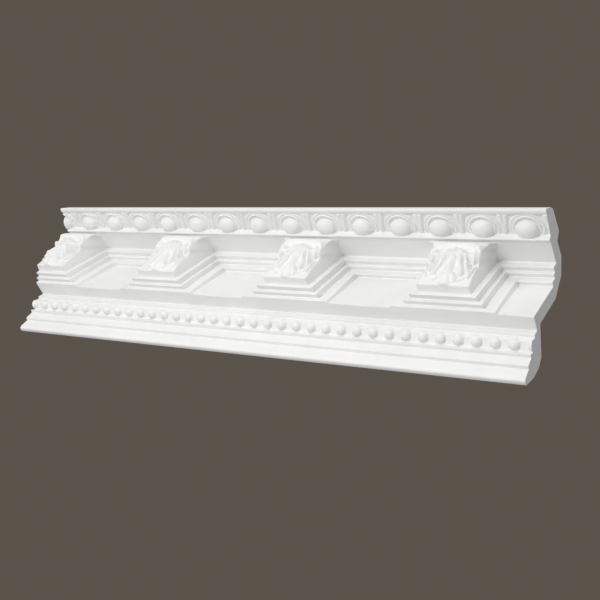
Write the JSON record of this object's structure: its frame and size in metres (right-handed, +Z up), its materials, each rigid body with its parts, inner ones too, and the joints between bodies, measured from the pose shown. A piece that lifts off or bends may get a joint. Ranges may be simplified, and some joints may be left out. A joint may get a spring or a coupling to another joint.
{
  "type": "cornice moulding length",
  "caption": "Cut length of coved cornice with an egg and dart band, a coffered soffit on leaf brackets, a plain fascia and a beaded crown, for the corner of a wall and a ceiling.",
  "frame": {"origin": "middle of the flat face that is glued to the wall, halfway along the length", "axes": "+X along the moulding, +Y into the wall, +Z up to the ceiling; the ornament faces -Y and -Z"},
  "size_m": [0.6, 0.1612, 0.0803],
  "materials": {
    "primed_foam": "smooth white primer on moulded rigid foam, matt to eggshell"
  },
  "bodies": {
    "root": {"cornice_length": "primed_foam"}
  },
  "joints": []
}
